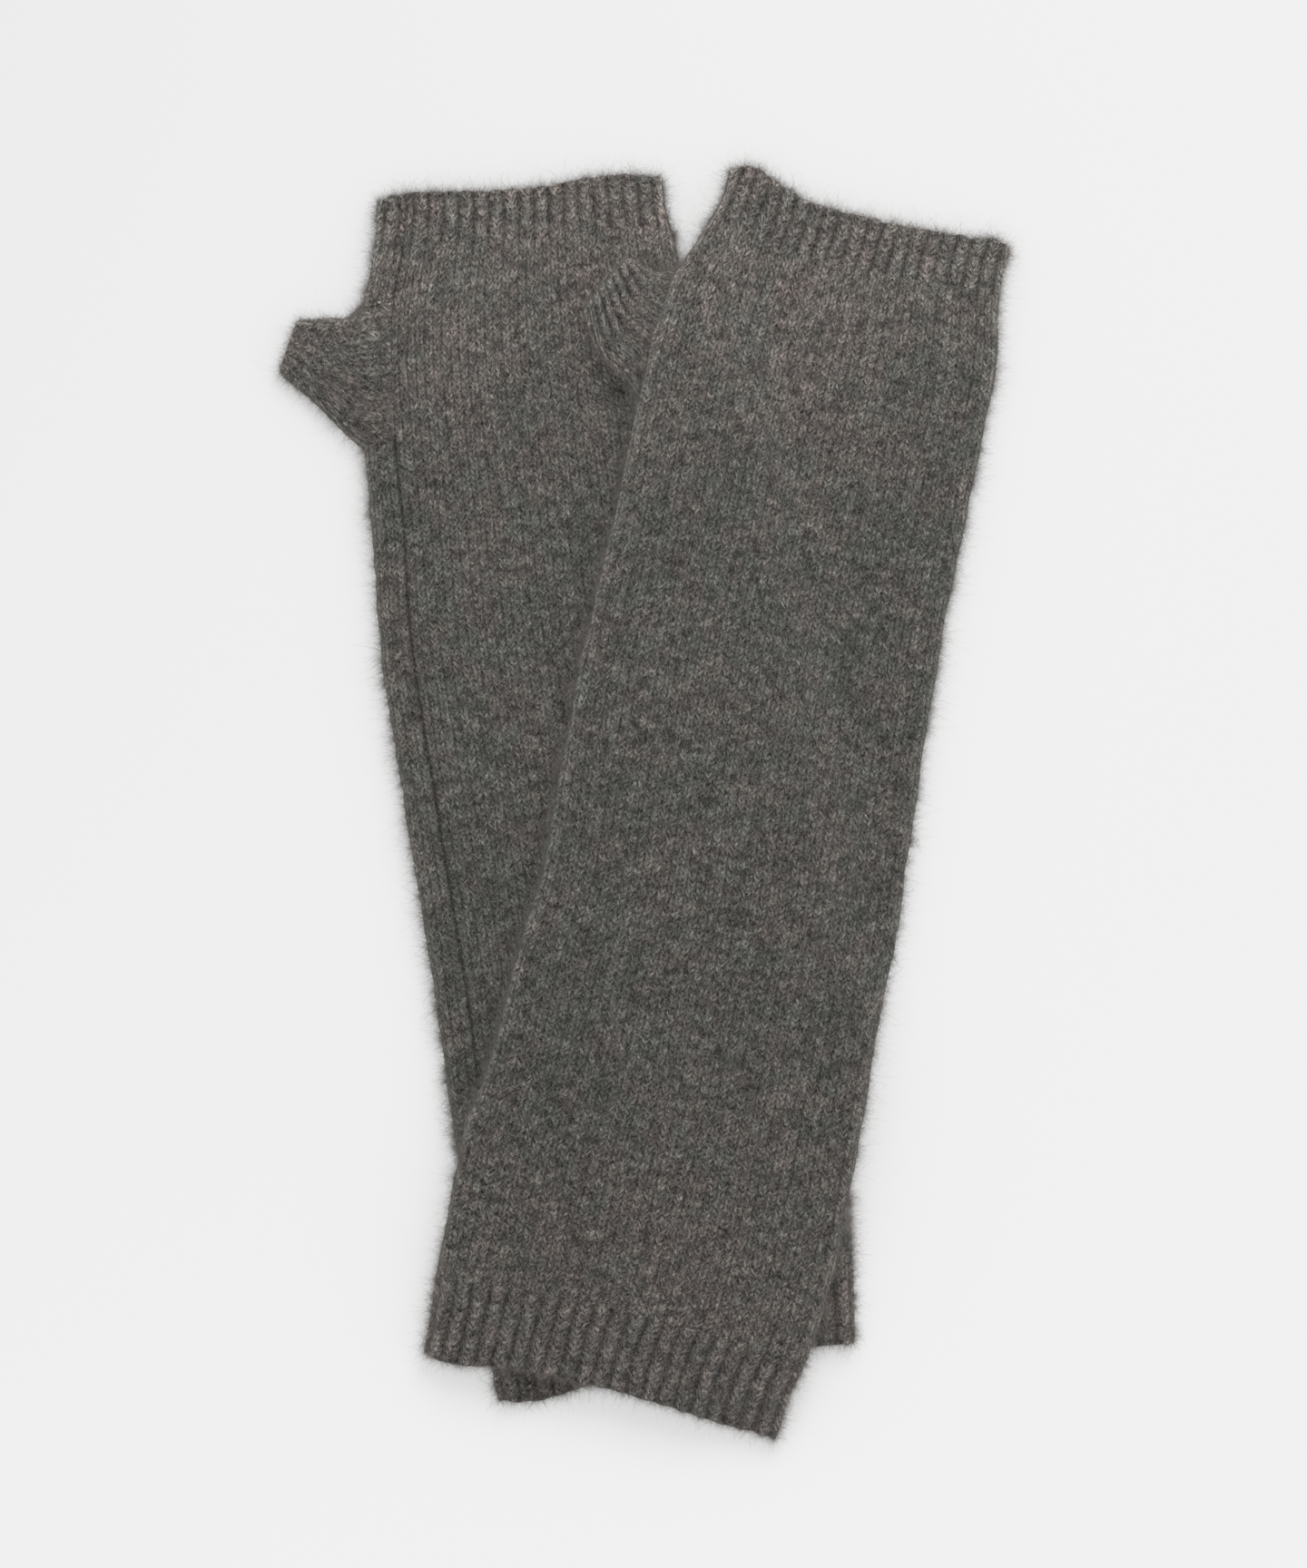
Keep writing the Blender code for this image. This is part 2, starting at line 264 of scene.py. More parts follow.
def layer_gap(warmer, along, across):
    """The space between the two layers: more at the folds, and at a mouth that nothing presses on."""
    left, right = fold_edges(warmer, along)
    inboard = np.maximum(np.minimum(across - left, right - across) - WALL, 0.0)
    gap = LAYER_GAP + FOLD_PUFF * (1 - ease(inboard / PUFF_REACH))
    crown = ease(inboard / (MOUTH_CROWN * (right - left)))
    gap = gap + MOUTH_LIFT * crown * (1 - ease((warmer.length - along) / MOUTH_REACH))
    if warmer.rests_on_other:
        gap = gap + MOUTH_LIFT * crown * (1 - ease(along / MOUTH_REACH))
    return gap


def to_plan(warmer, along, across):
    """Points of the warmer's working frame on the world's plan, in millimetres."""
    turn = math.radians(warmer.lean)
    x = warmer.arm_end[0] - math.sin(turn) * along + math.cos(turn) * across
    y = warmer.arm_end[1] + math.cos(turn) * along + math.sin(turn) * across
    return x, y


def from_plan(warmer, x, y):
    """The other way round: along and across of points on the plan."""
    turn = math.radians(warmer.lean)
    dx, dy = x - warmer.arm_end[0], y - warmer.arm_end[1]
    return -math.sin(turn) * dx + math.cos(turn) * dy, math.cos(turn) * dx + math.sin(turn) * dy


def inside_of(warmer, x, y):
    """How far inside the warmer's outline points on the plan are, negative outside."""
    along, across = from_plan(warmer, x, y)
    left, right = fold_edges(warmer, np.clip(along, 0.0, warmer.length))
    from_folds = np.minimum(across - left, right - across)
    return np.minimum(from_folds, np.minimum(along, warmer.length - along))


def drape(x, y):
    """How high the lower warmer holds the upper one at points on the plan."""
    inside = inside_of(UNDER, x, y)
    return DRAPE_LIFT * ease((inside + DRAPE_SHOULDER + DRAPE_EASE) / DRAPE_EASE)


def place(warmer, along, across, height):
    """Points of the working frame in the world, in millimetres, with the hem's bow and the drape."""
    x, y = to_plan(warmer, along + hem_shift(warmer, along, across), across)
    if warmer.rests_on_other:
        height = height + drape(x, y)
    else:
        away = np.hypot((x - DENT_AT[0]) / DENT_SIZE[0], (y - DENT_AT[1]) / DENT_SIZE[1])
        height = height * (1 - DENT_SHARE * np.exp(-(away**2)))
    return np.stack(np.broadcast_arrays(x, y, height), axis=-1)


def spread(paths, shares):
    """Points at these shares of each path's length. paths is (rows, points, 2)."""
    steps = np.linalg.norm(np.diff(paths, axis=1), axis=2)
    reach = np.concatenate([np.zeros((len(paths), 1)), np.cumsum(steps, axis=1)], axis=1)
    found = np.empty((len(paths), len(shares), 2))
    for r, (path, at) in enumerate(zip(paths, reach, strict=True)):
        for axis in (0, 1):
            found[r, :, axis] = np.interp(shares * at[-1], at, path[:, axis])
    return found, reach[:, -1]


def fold_path(centre, radius, outward, turning, steps):
    """Round one fold, without its ends. turning is 1 from the upper layer down, and -1 from the lower up."""
    angle = np.linspace(0, math.pi, steps + 2)[1:-1]
    across = centre + outward * radius * np.sin(angle)
    return np.stack([across, radius + turning * radius * np.cos(angle)], axis=-1)


def panel_paths(warmer, along):
    """The outer skin of the panel at each station, as (across, height) from the seam round to the seam."""
    along = along[:, None]
    left, right = fold_edges(warmer, along)
    face = warmer.seam_face
    seam = left + SEAM_INSET
    radius_left = WALL + 0.5 * layer_gap(warmer, along, left)
    radius_right = WALL + 0.5 * layer_gap(warmer, along, right)

    def flat(start, end, side, steps):
        across = start + (end - start) * np.linspace(0, 1, steps)
        top = 2 * WALL + layer_gap(warmer, along, across)
        return np.stack([across, top if side > 0 else np.zeros_like(across)], axis=-1)

    return np.concatenate(
        [
            flat(seam, right - radius_right, face, TOP_STEPS),
            fold_path(right - radius_right, radius_right, 1, face, FOLD_STEPS),
            flat(right - radius_right, left + radius_left, -face, UNDER_STEPS),
            fold_path(left + radius_left, radius_left, -1, -face, FOLD_STEPS),
            flat(left + radius_left, seam, face, STRIP_STEPS),
        ],
        axis=1,
    )


def panel_surface(warmer, along, shares):
    """The panel's outer skin in the world, (rows, columns, 3), and the girth at each station."""
    points, girth = spread(panel_paths(warmer, along), shares)
    return place(warmer, along[:, None], points[..., 0], points[..., 1]), girth


def thumb_surface(warmer, reach, shares):
    """The thumb's outer skin in the world, (rows, columns, 3), and the girth at each station."""
    hand = np.stack([through(warmer.thumb, c, reach) for c in ("hand_along", "hand_across")], axis=-1)
    arm = np.stack([through(warmer.thumb, c, reach) for c in ("arm_along", "arm_across")], axis=-1)
    top = through(warmer.thumb, "top", reach)[:, None]
    span = np.linalg.norm(hand - arm, axis=1)[:, None]
    radius = 0.5 * top

    def flat(start, end, height):
        share = np.linspace(0, 1, THUMB_STEPS)
        away = start + (end - start) * share
        return np.stack(np.broadcast_arrays(away, height), axis=-1)

    crown = THUMB_CROWN * np.sin(math.pi * np.linspace(0, 1, THUMB_STEPS))
    paths = np.concatenate(
        [
            flat(radius, span - radius, top + crown),
            fold_path(span - radius, radius, 1, 1, THUMB_FOLD_STEPS),
            flat(span - radius, radius, 0.0),
            fold_path(radius, radius, -1, -1, THUMB_FOLD_STEPS),
            np.stack([radius, top], axis=-1),
        ],
        axis=1,
    )
    points, girth = spread(paths, shares)
    toward_hand = ((hand - arm) / span)[:, None, :]
    plan = arm[:, None, :] + toward_hand * points[..., :1]
    upper = np.clip(points[..., 1] / top, 0, 1)
    inset = upper * warmer.thumb_insets[0] + (1 - upper) * warmer.thumb_insets[1]
    plan[..., 1] += inset * np.clip(-reach[:, None] / warmer.tongue, 0, 1)
    return place(warmer, plan[..., 0], plan[..., 1], points[..., 1]), girth


# ---------------------------------------------------------------- meshes


def make_mesh(name, points, quads, maps, material):
    """An object from points in millimetres and quads of their numbers. maps is {name: (u, v) per corner}."""
    mesh = bpy.data.meshes.new(name)
    mesh.vertices.add(len(points))
    mesh.vertices.foreach_set("co", (points * MM).astype(np.float32).ravel())
    mesh.loops.add(4 * len(quads))
    mesh.loops.foreach_set("vertex_index", quads.astype(np.int32).ravel())
    mesh.polygons.add(len(quads))
    mesh.polygons.foreach_set("loop_start", np.arange(0, 4 * len(quads), 4, dtype=np.int32))
    mesh.update(calc_edges=True)
    for map_name, corners in maps.items():
        layer = mesh.uv_layers.new(name=map_name)
        layer.data.foreach_set("uv", corners.astype(np.float32).ravel())
    mesh.polygons.foreach_set("use_smooth", np.ones(len(quads), bool))
    mesh.materials.append(material)
    thing = bpy.data.objects.new(name, mesh)
    bpy.context.scene.collection.objects.link(thing)
    return thing


def rumple(rows, shares, span, girth, size, waves=26):
    """Soft uneven swells, about 1 high at most, that join up round a tube: size is their length in mm."""
    swell = 0.0
    for _ in range(waves):
        round_it = random.integers(-round(girth / size), round(girth / size) + 1)
        turns = random.uniform(-1, 1) * span / size
        phase = random.uniform(0, 2 * math.pi)
        swell = swell + np.cos(2 * math.pi * (round_it * shares + turns * rows[:, None] / span) + phase)
    return swell / (1.6 * math.sqrt(waves))


def from_outline(rings):
    """How far inside the outline seen from above each point of these rings lies."""
    away = (rings - rings.mean(axis=1, keepdims=True))[..., :2]
    tip = np.argmax(np.linalg.norm(away, axis=2), axis=1)
    sideways = unit(away[np.arange(len(rings)), tip])
    reach = (away * sideways[:, None]).sum(axis=2)
    low, high = reach.min(axis=1, keepdims=True), reach.max(axis=1, keepdims=True)
    return np.minimum(reach - low, high - reach)


def surface_frame(surface, rows, shares):
    """Points of a tube's surface, their outward normals, their way along it, and its girths."""
    base, girth = surface(rows, shares)
    lengthwise = surface(rows + 0.5, shares)[0] - surface(rows - 0.5, shares)[0]
    sideways = np.roll(base[:, :-1], -1, axis=1) - np.roll(base[:, :-1], 1, axis=1)
    sideways = np.concatenate([sideways, sideways[:, :1]], axis=1)
    normals = unit(np.cross(lengthwise, sideways))
    if (normals * (base - base.mean(axis=1, keepdims=True))).sum() < 0:
        normals = -normals
    return base, normals, unit(lengthwise), girth


def grid_quads(points, normals, kept):
    """Quads between neighbouring rows and columns of points where kept is true, facing as the normals do."""
    columns = points.shape[1]
    r, c = np.nonzero(kept)
    first = r * columns + c
    quads = np.stack([first, first + 1, first + columns + 1, first + columns], axis=1)
    sample = quads[len(quads) // 2]
    corners = points.reshape(-1, 3)[sample]
    facing = np.cross(corners[1] - corners[0], corners[3] - corners[0])
    if facing @ normals.reshape(-1, 3)[sample[0]] < 0:
        quads = quads[:, ::-1]
    return quads


def grid_map(u, v):
    """Each grid point's place on a map, from values for its rows, its columns or both."""
    return np.stack(np.broadcast_arrays(u, v), axis=-1).reshape(-1, 2)


Skin = namedtuple("Skin", "points normals obj")


def skin_piece(name, surface, rows, depths, shares, wale_count, relief, material, keep=None, push=None):
    """A skin of knit on a surface, with the stitches' relief.

    rows are the stations and depths how far under the outer skin each row lies, for the hems' insides.
    relief gives each point's height over the surface, keep the cells that are there, and push how far
    points move along the tube. The maps hold the skin laid flat, each point's place counted in wales
    and stitches, and how far inside the outline it lies in millimetres.
    """
    base, normals, lengthwise, girth = surface_frame(surface, rows, shares)
    wales, courses = shares[None, :] * wale_count, (rows / COURSE)[:, None]
    height = relief(wales, courses, rows, shares, girth) - depths[:, None]
    points = base + normals * height[..., None]
    if push is not None:
        points += lengthwise * push[..., None]

    form = base - normals * depths[:, None, None]
    facing = np.cross(np.gradient(form, axis=0), np.gradient(form, axis=1))
    middle = len(rows) // 2
    facing = unit(facing * np.sign((facing[middle] * normals[middle]).sum()))

    kept = np.ones((len(rows) - 1, len(shares) - 1), bool) if keep is None else keep(rows, shares)
    quads = grid_quads(points, normals, kept)
    walk = np.concatenate([[0], np.cumsum(np.abs(np.diff(rows)) + np.abs(np.diff(depths)))])
    laid = grid_map(shares[None, :] * girth.mean(), walk[:, None])
    maps = {
        "OFBake": (laid / laid.max())[quads],
        "Stitches": grid_map(wales, courses)[quads],
        "Rim": grid_map(from_outline(base), 0.0)[quads],
    }
    thing = make_mesh(name, points.reshape(-1, 3), quads, maps, material)
    outer = depths < WALL - 0.01
    return Skin(points[outer], facing[outer], thing)


def hem_rows(inner_end, hem, outward):
    """Stations and depths from a rib's inner end to its hem and a little way back inside."""
    edge = hem - outward * 0.5 * WALL
    count = max(2, round(abs(edge - inner_end) / (0.5 * COURSE)))
    rows = list(np.linspace(inner_end, edge, count + 1))
    depths = [0.0] * len(rows)
    for angle in np.radians([30, 60, 90, 120, 150, 180]):
        rows.append(edge + outward * 0.5 * WALL * math.sin(angle))
        depths.append(0.5 * WALL * (1 - math.cos(angle)))
    for back in (0.5 * LIP, LIP):
        rows.append(edge - outward * back)
        depths.append(WALL)
    return np.array(rows), np.array(depths)


# ---------------------------------------------------------------- relief of the knit


def valley(place_in_wale):
    """0 at the line between two wales and 1 on the stitches' legs, with a slight dip up their middle."""
    a = np.abs(place_in_wale - 0.5)
    return np.clip(np.sin(2 * math.pi * a), 0, 1) ** 0.6 * 0.75 + 0.25 * np.cos(math.pi * a) ** 2


def seam_relief(distance):
    """The linked seam: a groove with a slight ridge on each side."""
    groove = SEAM_DEPTH * np.exp(-((distance / SEAM_WIDTH) ** 2))
    ridge = SEAM_RIDGE * np.exp(-(((distance - SEAM_RIDGE_AT) / SEAM_RIDGE_WIDTH) ** 2))
    return ridge - groove


def stocking_relief(wales, courses):
    """Height of plain knit over its ground: wales, and V-shaped stitches up them."""
    part = wales % 1.0
    a = np.abs(part - 0.5)
    leg = np.clip(np.sin(2 * math.pi * a), 0, 1)
    wave = 0.5 + 0.5 * np.sin(2 * math.pi * (courses - 2.2 * a))
    return WALE_DEPTH * (valley(part) - 1.0) + STITCH_DEPTH * leg * (wave - 0.5)


def rib_relief(ribs, courses, depth):
    """Height of a 1x1 rib over its ground: a rounded column of stitches, then a trough."""
    crest = (0.5 + 0.5 * np.cos(2 * math.pi * ribs)) ** 0.75
    return depth * (crest - 0.85) + RIB_STITCH_DEPTH * crest * np.sin(2 * math.pi * courses)


# ---------------------------------------------------------------- materials


class Graph:
    """Short calls for building a node tree."""

    def __init__(self, tree):
        self.tree = tree

    def node(self, kind, **values):
        made = self.tree.nodes.new(kind)
        for key, value in values.items():
            setattr(made, key, value)
        return made

    def link(self, source, target):
        """Give a socket another socket's value, or a fixed one."""
        if isinstance(source, (int, float, tuple)):
            target.default_value = source
        else:
            self.tree.links.new(source, target)

    def math(self, operation, *values):
        made = self.node("ShaderNodeMath", operation=operation)
        for socket, value in zip(made.inputs, values, strict=False):
            self.link(value, socket)
        return made.outputs[0]

    def product(self, first, *others):
        for other in others:
            first = self.math("MULTIPLY", first, other)
        return first

    def blend(self, *terms):
        """The sum of these (value, weight) pairs."""
        total = 0.0
        for value, weight in terms:
            total = self.math("MULTIPLY_ADD", value, weight, total)
        return total

    def distance(self, value, centre):
        return self.math("ABSOLUTE", self.math("SUBTRACT", value, centre))

    def mix(self, factor, one, two, blend="MIX"):
        made = self.node("ShaderNodeMix", data_type="RGBA", blend_type=blend)
        self.link(factor, made.inputs[0])
        self.link(one, made.inputs[6])
        self.link(two, made.inputs[7])
        return made.outputs[2]

    def join(self, x, y, z=0.0):
        made = self.node("ShaderNodeCombineXYZ")
        for socket, value in zip(made.inputs, (x, y, z), strict=True):
            self.link(value, socket)
        return made.outputs[0]

    def split(self, vector):
        made = self.node("ShaderNodeSeparateXYZ")
        self.link(vector, made.inputs[0])
        return made.outputs

    def read_map(self, name):
        """The two places of a UV map."""
        return self.split(self.node("ShaderNodeUVMap", uv_map=name).outputs[0])[:2]

    def noise(self, vector, scale, detail, rough=0.5, curl=0.0):
        made = self.node("ShaderNodeTexNoise")
        self.link(vector, made.inputs["Vector"])
        made.inputs["Scale"].default_value = scale
        made.inputs["Detail"].default_value = detail
        made.inputs["Roughness"].default_value = rough
        made.inputs["Distortion"].default_value = curl
        return made.outputs["Fac"]

    def remap(self, value, low, high, new_low, new_high):
        """Between low and high, new_low to new_high, and no further beyond them."""
        made = self.node("ShaderNodeMapRange")
        for socket, number in zip(made.inputs, (value, low, high, new_low, new_high), strict=False):
            self.link(number, socket)
        return made.outputs[0]


def new_material(name):
    material = bpy.data.materials.new(name)
    material.use_nodes = True
    tree = material.node_tree
    return material, Graph(tree), tree.nodes["Principled BSDF"]


GREEN_GREY = (0.116, 0.119, 0.105, 1.0)
BROWN_GREY = (0.154, 0.130, 0.119, 1.0)
SHEEN_TINT = (0.95, 0.92, 0.88, 1.0)
HAIR_DARK = (0.05, 0.047, 0.043, 1.0)
HAIR_LIGHT = (0.46, 0.425, 0.39, 1.0)

# How the wool's tone and tint follow other values: from, to, and what it is at each of the two
# Painted shade down in the troughs between ribs, and a painted highlight on their crests
RIB_SHADE_FROM, RIB_CREST_HIGHLIGHT = 0.16, 1.1
# Painted shade on the lines between wales, lighter up their middles
WALE_LINE_SHADE = (0.3, 0.5, 1.05, 0.7)
# Painted shade up the middle of each wale and on the lines between, lighter on the legs
BETWEEN_LEGS_SHADE = (-1.0, 1.0, 1.1, 0.86)
# Painted shade where each stitch dips and lighter where it stands up, following the stitches' relief
STITCH_SHADE = (-1.0, 1.0, 0.8, 1.2)
CLUMP_TONE = (0.3, 0.7, 0.55, 1.45)
BAND_TONE = (0.3, 0.7, 0.8, 1.2)
CLOUD_TONE = (0.35, 0.65, 0.96, 1.04)
LINK_TONE = (0.2, 1.1, 0.36, 1.0)  # over millimetres from the linked line
FOLD_HIGHLIGHT = (0.8, 3.8, 1.48, 1.0)  # painted highlight on the folds, over millimetres inside the outline
PAINTED_LIGHT_UPWARD = (-0.15, 0.17, 0.97, 1.16)  # painted light, paler up toward the lamp, over metres along the world's Y, as are the next two
# Painted light: paler still at the hand hems, nearest the lamp
HAND_END_LIGHT = (0.11, 0.155, 1.0, 1.27)
ARM_END_TONE = (-0.15, -0.08, 1.12, 1.0)
DENT_SHADE = (0.0025, 0.008, 0.84, 1.0)  # painted shade in the dent, over metres from it
BROWN_PATCHES = (0.38, 0.62, -0.14, 0.66)
BROWNER_ENDS = (0.08, 0.15, 0.0, 0.38)  # over metres from the middle of the pair
MIDDLE_Y = 0.005
DENT_HEIGHT = 0.004
DARKEST_TONE = 0.06
MEAN_TONE, MEAN_FIBRES = 0.87, 0.9
RIB_CONTRAST, PLAIN_CONTRAST = 1.16, 0.98
RIM_LIGHT_FROM, RIM_LIGHT_TO = 4.0, 1.0  # millimetres before a hem, where its painted highlight starts and ends to rise


def nap_pattern(g, off_leg, leg, mm_across, mm_along):
    """The surface of the nap: dashes along the legs of the stitches, two sizes of winding fibres, clumps."""

    def curls(per_mm, width, seed):
        """Thin winding lines, 1 on a line."""
        at = g.join(g.product(mm_across, per_mm), g.product(mm_along, per_mm / 1.3), seed)
        field = g.noise(at, 1.0, 1.0, 0.55, 0.9)
        return g.remap(g.distance(field, 0.5), 0.0, width, 1.0, 0.0)

    def blots(per_mm, squeeze, detail, rough, seed):
        """Soft blots in the nap, squeezed along the wales."""
        at = g.join(mm_across, g.product(mm_along, squeeze), seed)
        return g.noise(at, per_mm, detail, rough, 0.3)

    own_pattern = g.math("MULTIPLY_ADD", leg, 3.7, 3.1)
    along_leg = g.join(g.product(off_leg, 1.9), g.product(mm_along, 1 / 1.3), own_pattern)
    dashes = g.remap(g.noise(along_leg, 1.0, 1.0, 0.5, 0.5), 0.42, 0.64, 0.0, 1.0)
    middling, thin = curls(1.3, 0.09, 7.7), curls(2.8, 0.1, 12.4)
    clumps, bands = blots(0.45, 0.9, 1.5, 0.6, 21.0), blots(0.18, 1.5, 1.0, 0.5, 33.0)
    return dashes, middling, thin, clumps, bands


def knit_material(name, wale_mm, ribbed=False, round_wales=None, trough_shade=0.4, hem_mm=None, hem_highlight=1.0):
    """Brushed melange knit: mottled wool, its surface a tangle of fine pale curls over hollows darkened with
    painted shade.

    The line where the piece is linked, at 0 and at round_wales round it, is darker. The troughs between ribs
    get painted shade, down to the tone set by its argument. A hem at hem_mm along gets a painted highlight on
    its rim, by a given factor.
    """
    material, g, shader = new_material(name)
    where = g.node("ShaderNodeTexCoord").outputs["Object"]
    wales, courses = g.read_map("Stitches")
    if ribbed:
        # 0 on a rib's crest and 0.5 down in the trough beside it
        off_middle = g.distance(g.math("FRACT", g.math("MULTIPLY_ADD", wales, 0.5, 0.5)), 0.5)
        # Painted shade down in the troughs and a painted highlight on the crests
        painted_knit_shade = g.remap(off_middle, RIB_SHADE_FROM, 0.5, RIB_CREST_HIGHLIGHT, trough_shade)
        leg_mm = g.product(off_middle, 2 * wale_mm)
        leg = g.math("FLOOR", wales)
    else:
        # 0 up the middle of a wale and 0.5 on the line to the next
        off_middle = g.distance(g.math("FRACT", wales), 0.5)
        legs = g.math("COSINE", g.product(wales, 4 * math.pi))
        # Painted shade on the lines between wales and between each stitch's legs
        painted_knit_shade = g.product(g.remap(off_middle, *WALE_LINE_SHADE), g.remap(legs, *BETWEEN_LEGS_SHADE))
        leg_mm = g.product(off_middle, wale_mm)
        leg = g.math("FLOOR", g.product(wales, 2.0))
    slant = g.math("SUBTRACT", courses, g.product(off_middle, 2.0))
    wave = g.math("SINE", g.product(slant, 2 * math.pi))
    mm_across, mm_along = g.product(wales, wale_mm), g.product(courses, COURSE)
    off_leg = g.blend((leg_mm, 1.0), (mm_along, -0.48))
    dashes, middling, thin, clumps, bands = nap_pattern(g, off_leg, leg, mm_across, mm_along)

    # Green-grey and brown-grey wool in patches, browner at both ends of the pair
    patches, clouds = g.noise(where, 120.0, 1.5), g.noise(where, 28.0, 2.0)
    world_y = g.split(where)[1]
    toward_ends = g.remap(g.distance(world_y, MIDDLE_Y), *BROWNER_ENDS)
    tint = g.remap(g.blend((patches, 0.7), (clouds, 0.3)), *BROWN_PATCHES)
    wool = g.mix(g.math("ADD", tint, toward_ends), GREEN_GREY, BROWN_GREY)

    from_link = g.math("ABSOLUTE", wales)
    if round_wales:
        from_link = g.math("MINIMUM", from_link, g.distance(wales, round_wales))
    from_dent = g.node("ShaderNodeVectorMath", operation="DISTANCE")
    g.link(where, from_dent.inputs[0])
    g.link((DENT_AT[0] * MM, DENT_AT[1] * MM, DENT_HEIGHT), from_dent.inputs[1])
    contrast = RIB_CONTRAST if ribbed else PLAIN_CONTRAST
    fibres = g.blend((dashes, 1.1), (middling, 0.95), (thin, 0.9))
    fibres = g.math("MULTIPLY_ADD", fibres, contrast, MEAN_TONE - MEAN_FIBRES * contrast)
    # The tone: fibres and random blots and the darker linked line, with painted shade in the knit's hollows
    # and on its stitches, painted light up toward the lamp, painted shade in the dent and a painted highlight
    # on the folds
    tone = g.product(
        g.math("MAXIMUM", fibres, DARKEST_TONE),
        g.remap(clumps, *CLUMP_TONE),
        g.remap(bands, *BAND_TONE),
        g.remap(g.product(from_link, wale_mm), *LINK_TONE),
        painted_knit_shade,
        g.remap(wave, *STITCH_SHADE),
        g.remap(clouds, *CLOUD_TONE),
        g.remap(world_y, *PAINTED_LIGHT_UPWARD),
        g.remap(world_y, *HAND_END_LIGHT),
        g.remap(world_y, *ARM_END_TONE),
        g.remap(from_dent.outputs["Value"], *DENT_SHADE),
        g.remap(g.read_map("Rim")[0], *FOLD_HIGHLIGHT),
    )
    # Painted highlight on the rim of the hem
    if hem_mm:
        tone = g.product(tone, g.remap(mm_along, hem_mm - RIM_LIGHT_FROM, hem_mm - RIM_LIGHT_TO, 1.0, hem_highlight))
    g.link(g.mix(1.0, wool, g.join(tone, tone, tone), "MULTIPLY"), shader.inputs["Base Color"])
    shader.inputs["Roughness"].default_value = 0.92
    shader.inputs["Specular IOR Level"].default_value = 0.2
    shader.inputs["Sheen Weight"].default_value = 0.35
    shader.inputs["Sheen Roughness"].default_value = 0.45
    shader.inputs["Sheen Tint"].default_value = SHEEN_TINT

    bump = g.node("ShaderNodeBump")
    bump.inputs["Strength"].default_value = 1.0
    bump.inputs["Distance"].default_value = 0.32 * MM
    height = g.blend((dashes, 0.8), (middling, 0.6), (thin, 0.35), (clumps, 2.0), (wave, 0.15))
    g.link(height, bump.inputs["Height"])
    g.link(bump.outputs[0], shader.inputs["Normal"])
    return material


def hair_material(name):
    """Single hairs of the nap: each one's tone is its place on the map's first axis."""
    material, g, shader = new_material(name)
    g.link(g.mix(g.read_map("OFBake")[0], HAIR_DARK, HAIR_LIGHT), shader.inputs["Base Color"])
    shader.inputs["Roughness"].default_value = 0.75
    shader.inputs["Specular IOR Level"].default_value = 0.3
    shader.inputs["Sheen Weight"].default_value = 0.2
    return material


# ---------------------------------------------------------------- warmers


def even_shares(count):
    return np.linspace(0.0, 1.0, count + 1)


def body_shares(warmer):
    """Columns round the body: three to a wale where it shows, one to a wale underneath."""
    low, high = warmer.underside
    shares = []
    for wale in range(BODY_WALES):
        hidden = low < (wale + 0.5) / BODY_WALES < high
        shares += [(wale + k / 3) / BODY_WALES for k in range(1 if hidden else 3)]
    return np.array([*shares, 1.0])


def from_seam(shares, girth):
    """How far round the tube each point lies from the linked seam, in millimetres."""
    return np.minimum(shares, 1 - shares)[None, :] * girth[:, None]


def build_body(warmer, material):
    """The stockinette tube between the ribs."""
    start, end = ARM_RIB, warmer.length - HAND_RIB
    rows = np.linspace(start, end, 2 * round((end - start) / COURSE) + 1)
    shares = body_shares(warmer)
    fine = np.concatenate([[True], np.diff(shares) < 0.6 / BODY_WALES])

    def relief(wales, courses, rows, shares, girth):
        inboard = ease(np.minimum(rows - start, end - rows) / JOIN_FADE)[:, None]
        height = np.where(fine[None, :], stocking_relief(wales, courses), COARSE_HEIGHT) * inboard
        for ribs, from_line in ((ARM_RIBS, rows - start), (HAND_RIBS, end - rows)):
            fading = (1 - ease(from_line / RIB_FADE))[:, None]
            height = height + fading * rib_relief(shares[None, :] * ribs, courses, JOINED_DEPTH * RIB_DEPTH)
        height = height + seam_relief(from_seam(shares, girth))
        for swell in (BODY_SWELL, BODY_LUMP):
            uneven = rumple(rows, shares[None, :], end, GIRTHS["body"], swell.size)
            height = height + inboard * swell.height * uneven
        return height

    def keep(rows, shares):
        """All but the opening that the thumb is linked into."""
        middle = 0.5 * (rows[1:] + rows[:-1])
        girth = panel_surface(warmer, middle, shares)[1]
        off_seam = (1 - 0.5 * (shares[1:] + shares[:-1]))[None, :] * girth[:, None]
        hole = warmer.thumb_hole
        beside = (middle > hole.start) & (middle < hole.end)
        return ~(beside[:, None] & (off_seam < hole.from_seam))

    surface = partial(panel_surface, warmer)
    return skin_piece(
        f"{warmer.name}_body_knit", surface, rows, 0 * rows, shares, BODY_WALES, relief, material, keep
    )


